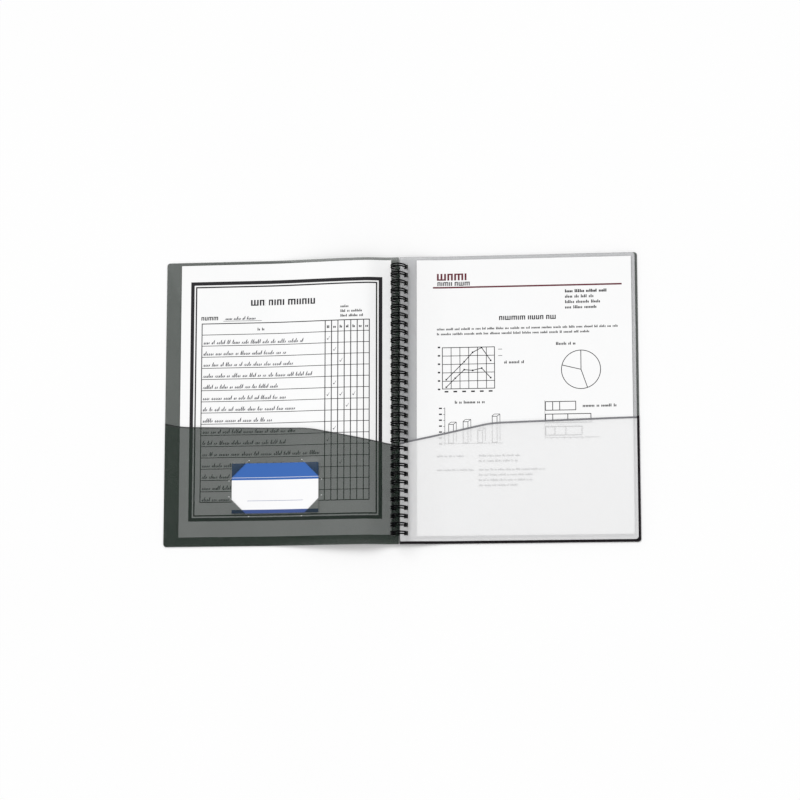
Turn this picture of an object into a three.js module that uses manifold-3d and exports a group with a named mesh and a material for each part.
// Twin-loop bound pocket folder, lying open: a smoke front cover on the left, a frosted divider and a
// smoke back cover on the right, each with welded pockets, and the wire that binds them.
// Millimetres, +Z up. X = 0 is the spine's centre line, +Y is the top of the pages, Z = 0 is the table.

import * as THREE from 'three';
import { mergeVertices } from 'three/addons/utils/BufferGeometryUtils.js';
import Module from 'manifold-3d';

const wasm = await Module();
wasm.setup();

// Covers and divider, in plan
const COVER_REACH = 240; // spine's centre line to a cover's outer edge
const COVER_HEIGHT = 292.1;
const DIVIDER_REACH = 237.6;
const DIVIDER_HEIGHT = 287;
const CORNER_RADIUS = 3;

// Thicknesses
const COVER_THICKNESS = 0.5;
const DIVIDER_THICKNESS = 0.4;
const FILM_THICKNESS = 0.3; // pocket film
const SHEET_THICKNESS = 0.3; // a few sheets of letter paper
const CARD_THICKNESS = 0.3;
const LAYER_GAP = 0.3; // air between two layers that lie on each other

// Twin-loop wire
const LOOP_PITCH = 25.4 / 3;
const SPINE_END_MARGIN = 6; // least height of a leaf past the middle of its end hole
const LOOP_ROOM = Math.min(COVER_HEIGHT, DIVIDER_HEIGHT) - 2 * SPINE_END_MARGIN;
const LOOP_COUNT = 1 + Math.floor(LOOP_ROOM / LOOP_PITCH); // 33 on this folder
const WIRE_DIAMETER = 1;
const RING_RADIUS = 8; // to the wire's centre
const TWIN_SPACING = 2; // between the two wires of one loop
const BASE_ANGLE = 262; // degrees round the ring, from +X over the top: the side the loops spring from
const TIP_ANGLE = -82; // where each loop's tip ends, beside the base
const RING_STEPS = 10;
const TIP_STEPS = 3;
const WIRE_SIDES = 5;

// Punched holes
const HOLE_ACROSS = 4; // along X
const HOLE_ALONG = 4.3; // along Y
const HOLE_TO_EDGE = 5; // hole's centre to the leaf's spine edge

// How each leaf leaves the ring: height of its punched margin, and where its hole sits
const FRONT_MARGIN_RISE = 3;
const FRONT_HOLE_X = 6.05;
const BACK_MARGIN_RISE = 2.6;
const BACK_HOLE_X = 5.5;
const DIVIDER_MARGIN_RISE = 4.6;
const DIVIDER_HOLE_X = 7;
const MARGIN_WIDTH = 9.5; // spine's centre line to the end of the level margin
const CROWN_RISE = 7.5; // the front cover bows up beside the spine
const CROWN_X = 35;
const FRONT_FLAT_X = 140; // from here out the front cover lies on the table
const RIGHT_FLAT_X = 50; // from here out the right leaves lie flat
const BEND_STEPS = 5;

// Pockets: depth from the leaf's bottom edge to the pocket's mouth, at four places across
const POCKET_DEPTH_OUTER = 126;
const POCKET_DEPTH_FLARE = 122;
const POCKET_DEPTH_KNEE = 118.7;
const POCKET_DEPTH_SPINE = 99;
const POCKET_FLARE_WIDTH = 16;
const POCKET_KNEE_X = 92;
const SIDE_WELD = 3;
const SPINE_WELD = 2.2;

// What the pockets hold
const LETTER_WIDTH = 215.9;
const LETTER_HEIGHT = 279.4;
const LEFT_SHEET_TO_SPINE = 8.6;
const LEFT_SHEET_BELOW_TOP = 3.3;
const RIGHT_SHEET_TO_SPINE = 18;
const RIGHT_SHEET_BELOW_TOP = 2.5;
const CARD_WIDTH = 88.9;
const CARD_HEIGHT = 50.8;
const CARD_TO_SPINE = 81.3;
const CARD_ABOVE_BOTTOM = 32.8;

// Corner tabs over the card
const TAB_LEG = 14.4; // how far the slit cuts off each card corner
const TAB_CLEARANCE = 0.3;
const TAB_RIM = 0.8;
const SLIT_WIDTH = 0.5;
const SLIT_OVERRUN = 3.4; // slit past the card's edge, along the slit
const SLIT_END_RADIUS = 0.9;

// Worked out from the sizes above
const LEFT = -1;
const RIGHT = 1;
const AXIS_Z = RING_RADIUS + WIRE_DIAMETER / 2; // the ring rests on the table
const FAR = 400; // past every edge of the folder
const CUT_LOW = -10;
const CUT_HIGH = 40;
const ARC_STEPS = 4; // a rounded corner or a whole round hole has twice as many flats
const MERGE_DISTANCE = 1e-5;
const SHEET_BASE = COVER_THICKNESS + LAYER_GAP;
const FULL_POCKET_GAP = LAYER_GAP + SHEET_THICKNESS + LAYER_GAP;
const FRONT_FILM_BASE = COVER_THICKNESS + FULL_POCKET_GAP;
const CARD_BASE = FRONT_FILM_BASE + FILM_THICKNESS + LAYER_GAP;
const TAB_BASE = CARD_BASE + CARD_THICKNESS + LAYER_GAP;
const BACK_FILM_BASE = COVER_THICKNESS + LAYER_GAP;
const DIVIDER_BACK_FILM_BASE = -(LAYER_GAP + FILM_THICKNESS);
const DIVIDER_FILM_BASE = DIVIDER_THICKNESS + FULL_POCKET_GAP;
const DIVIDER_FLAT_RISE = BACK_FILM_BASE + FILM_THICKNESS + LAYER_GAP - DIVIDER_BACK_FILM_BASE;
const LEFT_SHEET_BOTTOM = COVER_HEIGHT / 2 - LEFT_SHEET_BELOW_TOP - LETTER_HEIGHT;
const RIGHT_SHEET_BOTTOM = DIVIDER_HEIGHT / 2 - RIGHT_SHEET_BELOW_TOP - LETTER_HEIGHT;

const radians = (degrees) => degrees * Math.PI / 180;

const smoothStep = (t) => t * t * (3 - 2 * t);

// A leaf's bend, as stations across it: distance from the spine and rise of its underside
function bend(stretches) {
  const stations = [[0, stretches[0].from]];
  for (const { start, end, from, to } of stretches) {
    for (let step = 0; step <= BEND_STEPS; step += 1) {
      const t = step / BEND_STEPS;
      stations.push([start + (end - start) * t, from + (to - from) * smoothStep(t)]);
    }
  }
  return stations;
}

const FRONT_BEND = bend([
  { start: MARGIN_WIDTH, end: CROWN_X, from: FRONT_MARGIN_RISE, to: CROWN_RISE },
  { start: CROWN_X, end: FRONT_FLAT_X, from: CROWN_RISE, to: 0 },
]);
const BACK_BEND = bend([{ start: MARGIN_WIDTH, end: RIGHT_FLAT_X, from: BACK_MARGIN_RISE, to: 0 }]);
const DIVIDER_BEND = bend([
  { start: MARGIN_WIDTH, end: RIGHT_FLAT_X, from: DIVIDER_MARGIN_RISE, to: DIVIDER_FLAT_RISE },
]);

function riseAt(stations, x) {
  const next = stations.findIndex(([stationX]) => stationX >= x);
  if (next === -1) return stations.at(-1)[1];
  if (next === 0) return stations[0][1];
  const [x0, z0] = stations[next - 1];
  const [x1, z1] = stations[next];
  return x1 === x0 ? z1 : z0 + (z1 - z0) * (x - x0) / (x1 - x0);
}

// Meshes to solids and back
function toSolid(geometry) {
  geometry.deleteAttribute('normal');
  geometry.deleteAttribute('uv');
  const merged = mergeVertices(geometry, MERGE_DISTANCE);
  const vertProperties = new Float32Array(merged.attributes.position.array);
  const triVerts = new Uint32Array(merged.index.array);
  return new wasm.Manifold(new wasm.Mesh({ numProp: 3, vertProperties, triVerts }));
}

function toGeometry(solid) {
  const { vertProperties, triVerts } = solid.getMesh();
  const geometry = new THREE.BufferGeometry();
  geometry.setAttribute('position', new THREE.BufferAttribute(new Float32Array(vertProperties), 3));
  geometry.setIndex(new THREE.BufferAttribute(new Uint32Array(triVerts), 1));
  geometry.computeVertexNormals();
  return geometry;
}

// An upright prism over an outline in plan, tall enough to cut every layer
function prism(shape) {
  const geometry = new THREE.ExtrudeGeometry(shape, {
    depth: CUT_HIGH - CUT_LOW,
    bevelEnabled: false,
    curveSegments: ARC_STEPS,
  });
  return toSolid(geometry.translate(0, 0, CUT_LOW));
}

const outline = (points) => new THREE.Shape(points.map(([x, y]) => new THREE.Vector2(x, y)));

const rectangle = (x0, y0, x1, y1) => outline([[x0, y0], [x1, y0], [x1, y1], [x0, y1]]);

// A layer that follows a leaf's bend, between two heights over its underside
function layer(side, stations, { base, thickness, start = 0, end = FAR, low = -FAR, high = FAR }) {
  const across = [start, ...stations.map(([x]) => x).filter((x) => x > start && x < end), end];
  const points = across.filter((x, index) => index === 0 || x > across[index - 1]);
  const under = points.map((x) => [side * x, riseAt(stations, x) + base]);
  const over = points.map((x) => [side * x, riseAt(stations, x) + base + thickness]).reverse();
  const geometry = new THREE.ExtrudeGeometry(outline([...under, ...over]), {
    depth: high - low,
    bevelEnabled: false,
  });
  geometry.rotateX(Math.PI / 2);
  geometry.translate(0, high, 0);
  return toSolid(geometry);
}

// A rectangle with rounded corners, in plan
function roundedLeaf(side, spineEdge, outerEdge, height) {
  const [x0, x1] = [side * spineEdge, side * outerEdge].sort((a, b) => a - b);
  const y = height / 2;
  const r = CORNER_RADIUS;
  const shape = new THREE.Shape();
  shape.absarc(x1 - r, y - r, r, 0, Math.PI / 2);
  shape.absarc(x0 + r, y - r, r, Math.PI / 2, Math.PI);
  shape.absarc(x0 + r, -y + r, r, Math.PI, Math.PI * 1.5);
  shape.absarc(x1 - r, -y + r, r, Math.PI * 1.5, Math.PI * 2);
  return shape;
}

const loopY = (index) => (index - (LOOP_COUNT - 1) / 2) * LOOP_PITCH;

// The row of punched holes, as one cutter
function holeRow(side, holeX) {
  const cutters = [];
  for (let index = 0; index < LOOP_COUNT; index += 1) {
    const x = side * holeX;
    const y = loopY(index);
    const halfX = HOLE_ACROSS / 2;
    const halfY = HOLE_ALONG / 2;
    cutters.push(prism(rectangle(x - halfX, y - halfY, x + halfX, y + halfY)));
  }
  return wasm.Manifold.union(cutters);
}

// A leaf and the outline that its pockets share
function leafPlan(side, reach, height, holeX, stations) {
  const spineEdge = holeX - HOLE_TO_EDGE;
  return {
    side,
    reach,
    height,
    spineEdge,
    stations,
    blank: prism(roundedLeaf(side, spineEdge, reach, height)),
    holes: holeRow(side, holeX),
  };
}

const frontPlan = leafPlan(LEFT, COVER_REACH, COVER_HEIGHT, FRONT_HOLE_X, FRONT_BEND);
const backPlan = leafPlan(RIGHT, COVER_REACH, COVER_HEIGHT, BACK_HOLE_X, BACK_BEND);
const dividerPlan = leafPlan(RIGHT, DIVIDER_REACH, DIVIDER_HEIGHT, DIVIDER_HOLE_X, DIVIDER_BEND);

function leafSolid(plan, thickness) {
  const sheet = layer(plan.side, plan.stations, { base: 0, thickness });
  return sheet.intersect(plan.blank).subtract(plan.holes);
}

// The space under a pocket's mouth, in plan: flared at the outer edge, sloped towards the spine
function pocketMouth({ side, reach, height }) {
  const bottom = -height / 2;
  const mouth = [
    [0, POCKET_DEPTH_SPINE],
    [POCKET_KNEE_X, POCKET_DEPTH_KNEE],
    [reach - POCKET_FLARE_WIDTH, POCKET_DEPTH_FLARE],
    [reach, POCKET_DEPTH_OUTER],
    [FAR, POCKET_DEPTH_OUTER],
  ].map(([x, depth]) => [side * x, bottom + depth]);
  return prism(outline([[side * FAR, -FAR], [0, -FAR], ...mouth]));
}

// A pocket: a film held off the leaf by the weld along its spine, bottom and outer edges.
// facing is 1 on the leaf's upper side and -1 on its underside.
function pocketSolid(plan, { filmBase, leafThickness, facing, bottomWeld }) {
  const { side, reach, height, spineEdge, stations } = plan;
  const filmTop = filmBase + FILM_THICKNESS;
  const weldBase = facing > 0 ? leafThickness : filmBase;
  const weldTop = facing > 0 ? filmTop : 0;
  const film = layer(side, stations, { base: filmBase, thickness: FILM_THICKNESS });
  const weld = layer(side, stations, { base: weldBase, thickness: weldTop - weldBase });
  const inside = prism(rectangle(
    side * (spineEdge + SPINE_WELD), -height / 2 + bottomWeld,
    side * (reach - SIDE_WELD), FAR,
  ));
  return film.add(weld.subtract(inside)).intersect(plan.blank).intersect(pocketMouth(plan))
    .subtract(plan.holes);
}

// Name card, and the four corner tabs of film that hold it
const CARD = {
  x0: -(CARD_TO_SPINE + CARD_WIDTH),
  x1: -CARD_TO_SPINE,
  y0: -COVER_HEIGHT / 2 + CARD_ABOVE_BOTTOM,
  y1: -COVER_HEIGHT / 2 + CARD_ABOVE_BOTTOM + CARD_HEIGHT,
};
const CARD_CORNERS = [
  { x: CARD.x0, y: CARD.y0, inX: 1, inY: 1 },
  { x: CARD.x1, y: CARD.y0, inX: -1, inY: 1 },
  { x: CARD.x0, y: CARD.y1, inX: 1, inY: -1 },
  { x: CARD.x1, y: CARD.y1, inX: -1, inY: -1 },
];

// A right triangle in a card corner, grown outwards by margin, with its long side on the slit
function cornerTriangle({ x, y, inX, inY }, margin, past = 0) {
  const leg = TAB_LEG + margin + past;
  return prism(outline([
    [x - inX * margin, y - inY * margin],
    [x + inX * leg, y - inY * margin],
    [x - inX * margin, y + inY * leg],
  ]));
}

function slit({ x, y, inX, inY }) {
  const along = SLIT_OVERRUN / Math.SQRT2;
  const across = SLIT_WIDTH / 2 / Math.SQRT2;
  const endA = [x + inX * (TAB_LEG + along), y - inY * along];
  const endB = [x - inX * along, y + inY * (TAB_LEG + along)];
  const strip = prism(outline([
    [endA[0] - inX * across, endA[1] - inY * across],
    [endA[0] + inX * across, endA[1] + inY * across],
    [endB[0] + inX * across, endB[1] + inY * across],
    [endB[0] - inX * across, endB[1] - inY * across],
  ]));
  const dots = [endA, endB].map(([dotX, dotY]) => {
    const dot = new THREE.Shape();
    dot.absarc(dotX, dotY, SLIT_END_RADIUS, 0, Math.PI * 2);
    return prism(dot);
  });
  return strip.add(dots[0]).add(dots[1]);
}

function frontPocketSolid() {
  let pocket = pocketSolid(frontPlan, {
    filmBase: FRONT_FILM_BASE,
    leafThickness: COVER_THICKNESS,
    facing: 1,
    bottomWeld: LEFT_SHEET_BOTTOM + COVER_HEIGHT / 2 - LAYER_GAP,
  });
  const raised = layer(LEFT, FRONT_BEND, {
    base: FRONT_FILM_BASE,
    thickness: TAB_BASE + FILM_THICKNESS - FRONT_FILM_BASE,
  });
  const hollow = layer(LEFT, FRONT_BEND, {
    base: FRONT_FILM_BASE - LAYER_GAP / 2,
    thickness: TAB_BASE - FRONT_FILM_BASE + LAYER_GAP / 2,
  });
  for (const corner of CARD_CORNERS) {
    const inside = cornerTriangle(corner, TAB_CLEARANCE, SLIT_WIDTH * 2);
    const tab = raised.intersect(cornerTriangle(corner, TAB_CLEARANCE + TAB_RIM));
    pocket = pocket.subtract(slit(corner)).add(tab).subtract(hollow.intersect(inside));
  }
  return pocket;
}

// Twin-loop wire: one unbroken strand, out and back round the ring for each loop
function ringPoint(angle, y) {
  return new THREE.Vector3(
    RING_RADIUS * Math.cos(radians(angle)),
    y,
    AXIS_Z + RING_RADIUS * Math.sin(radians(angle)),
  );
}

function wirePath() {
  const points = [];
  const half = TWIN_SPACING / 2;
  for (let index = 0; index < LOOP_COUNT; index += 1) {
    const y = loopY(index);
    for (let step = 0; step <= RING_STEPS; step += 1) {
      points.push(ringPoint(BASE_ANGLE + (TIP_ANGLE - BASE_ANGLE) * step / RING_STEPS, y - half));
    }
    for (let step = 1; step < TIP_STEPS; step += 1) {
      const turn = Math.PI * step / TIP_STEPS;
      const overshoot = half * Math.sin(turn) / RING_RADIUS * 180 / Math.PI;
      points.push(ringPoint(TIP_ANGLE - overshoot, y - half * Math.cos(turn)));
    }
    for (let step = RING_STEPS; step >= 0; step -= 1) {
      points.push(ringPoint(BASE_ANGLE + (TIP_ANGLE - BASE_ANGLE) * step / RING_STEPS, y + half));
    }
  }
  return points;
}

// A round strand swept along a path, closed at both ends
function strand(points, radius, sides) {
  const last = points.length - 1;
  const positions = [];
  const indices = [];
  const tangents = points.map((point, index) => {
    const before = points[Math.max(index - 1, 0)];
    const after = points[Math.min(index + 1, last)];
    return after.clone().sub(before).normalize();
  });
  const normal = new THREE.Vector3(1, 0, 0).cross(tangents[0]).normalize();
  points.forEach((point, index) => {
    const tangent = tangents[index];
    normal.addScaledVector(tangent, -normal.dot(tangent)).normalize();
    const binormal = tangent.clone().cross(normal);
    for (let side = 0; side < sides; side += 1) {
      const turn = 2 * Math.PI * side / sides;
      const offset = normal.clone().multiplyScalar(Math.cos(turn) * radius)
        .addScaledVector(binormal, Math.sin(turn) * radius);
      positions.push(...point.clone().add(offset).toArray());
    }
  });
  for (let ring = 0; ring < last; ring += 1) {
    for (let side = 0; side < sides; side += 1) {
      const a = ring * sides + side;
      const b = ring * sides + (side + 1) % sides;
      indices.push(a, b, b + sides, a, b + sides, a + sides);
    }
  }
  for (let side = 1; side < sides - 1; side += 1) {
    indices.push(0, side + 1, side);
    indices.push(last * sides, last * sides + side, last * sides + side + 1);
  }
  const geometry = new THREE.BufferGeometry();
  geometry.setAttribute('position', new THREE.Float32BufferAttribute(positions, 3));
  geometry.setIndex(indices);
  geometry.computeVertexNormals();
  return geometry;
}

// The least air between two stretches of the strand that aren't next to each other
function leastSelfGap(points) {
  const nearby = RING_STEPS / 2;
  let least = Infinity;
  points.forEach((point, index) => {
    const others = points.slice(index + nearby, index + 4 * RING_STEPS);
    for (const other of others) least = Math.min(least, point.distanceTo(other));
  });
  return least - WIRE_DIAMETER;
}

// Materials
const smokeFilm = () => new THREE.MeshStandardMaterial({
  color: 0x3c423f,
  roughness: 0.45,
  metalness: 0,
  transparent: true,
  opacity: 0.6,
});
const frostedFilm = () => new THREE.MeshStandardMaterial({
  color: 0xdcdce0,
  roughness: 0.6,
  metalness: 0,
  transparent: true,
  opacity: 0.45,
});
const paper = () => new THREE.MeshStandardMaterial({ color: 0xfafafa, roughness: 0.9, metalness: 0 });
const card = () => new THREE.MeshStandardMaterial({ color: 0xf4f6fb, roughness: 0.7, metalness: 0 });
const coatedWire = () => new THREE.MeshStandardMaterial({ color: 0x101010, roughness: 0.4, metalness: 0.1 });

const group = new THREE.Group();

function addPart(name, geometry, material) {
  const mesh = new THREE.Mesh(geometry, material);
  mesh.name = name;
  group.add(mesh);
}

// Front leaf
addPart('front_cover', toGeometry(leafSolid(frontPlan, COVER_THICKNESS)), smokeFilm());
addPart('front_pocket', toGeometry(frontPocketSolid()), smokeFilm());
addPart('name_card', toGeometry(layer(LEFT, FRONT_BEND, {
  base: CARD_BASE,
  thickness: CARD_THICKNESS,
  start: -CARD.x1,
  end: -CARD.x0,
  low: CARD.y0,
  high: CARD.y1,
})), card());
addPart('left_sheet', toGeometry(layer(LEFT, FRONT_BEND, {
  base: SHEET_BASE,
  thickness: SHEET_THICKNESS,
  start: LEFT_SHEET_TO_SPINE,
  end: LEFT_SHEET_TO_SPINE + LETTER_WIDTH,
  low: LEFT_SHEET_BOTTOM,
  high: LEFT_SHEET_BOTTOM + LETTER_HEIGHT,
})), paper());

// Divider
const dividerWeld = RIGHT_SHEET_BOTTOM + DIVIDER_HEIGHT / 2 - LAYER_GAP;
addPart('divider_page', toGeometry(leafSolid(dividerPlan, DIVIDER_THICKNESS)), frostedFilm());
addPart('divider_front_pocket', toGeometry(pocketSolid(dividerPlan, {
  filmBase: DIVIDER_FILM_BASE,
  leafThickness: DIVIDER_THICKNESS,
  facing: 1,
  bottomWeld: dividerWeld,
})), frostedFilm());
addPart('divider_back_pocket', toGeometry(pocketSolid(dividerPlan, {
  filmBase: DIVIDER_BACK_FILM_BASE,
  leafThickness: DIVIDER_THICKNESS,
  facing: -1,
  bottomWeld: dividerWeld,
})), frostedFilm());
addPart('right_sheet', toGeometry(layer(RIGHT, DIVIDER_BEND, {
  base: DIVIDER_THICKNESS + LAYER_GAP,
  thickness: SHEET_THICKNESS,
  start: RIGHT_SHEET_TO_SPINE,
  end: RIGHT_SHEET_TO_SPINE + LETTER_WIDTH,
  low: RIGHT_SHEET_BOTTOM,
  high: RIGHT_SHEET_BOTTOM + LETTER_HEIGHT,
})), paper());

// Back leaf
addPart('back_cover', toGeometry(leafSolid(backPlan, COVER_THICKNESS)), smokeFilm());
addPart('back_pocket', toGeometry(pocketSolid(backPlan, {
  filmBase: BACK_FILM_BASE,
  leafThickness: COVER_THICKNESS,
  facing: 1,
  bottomWeld: SIDE_WELD,
})), smokeFilm());

// Wire
const path = wirePath();
addPart('twin_loop_wire', strand(path, WIRE_DIAMETER / 2, WIRE_SIDES), coatedWire());
console.log(`twin_loop_wire: least gap to itself ${leastSelfGap(path).toFixed(2)} mm`);

export default group;
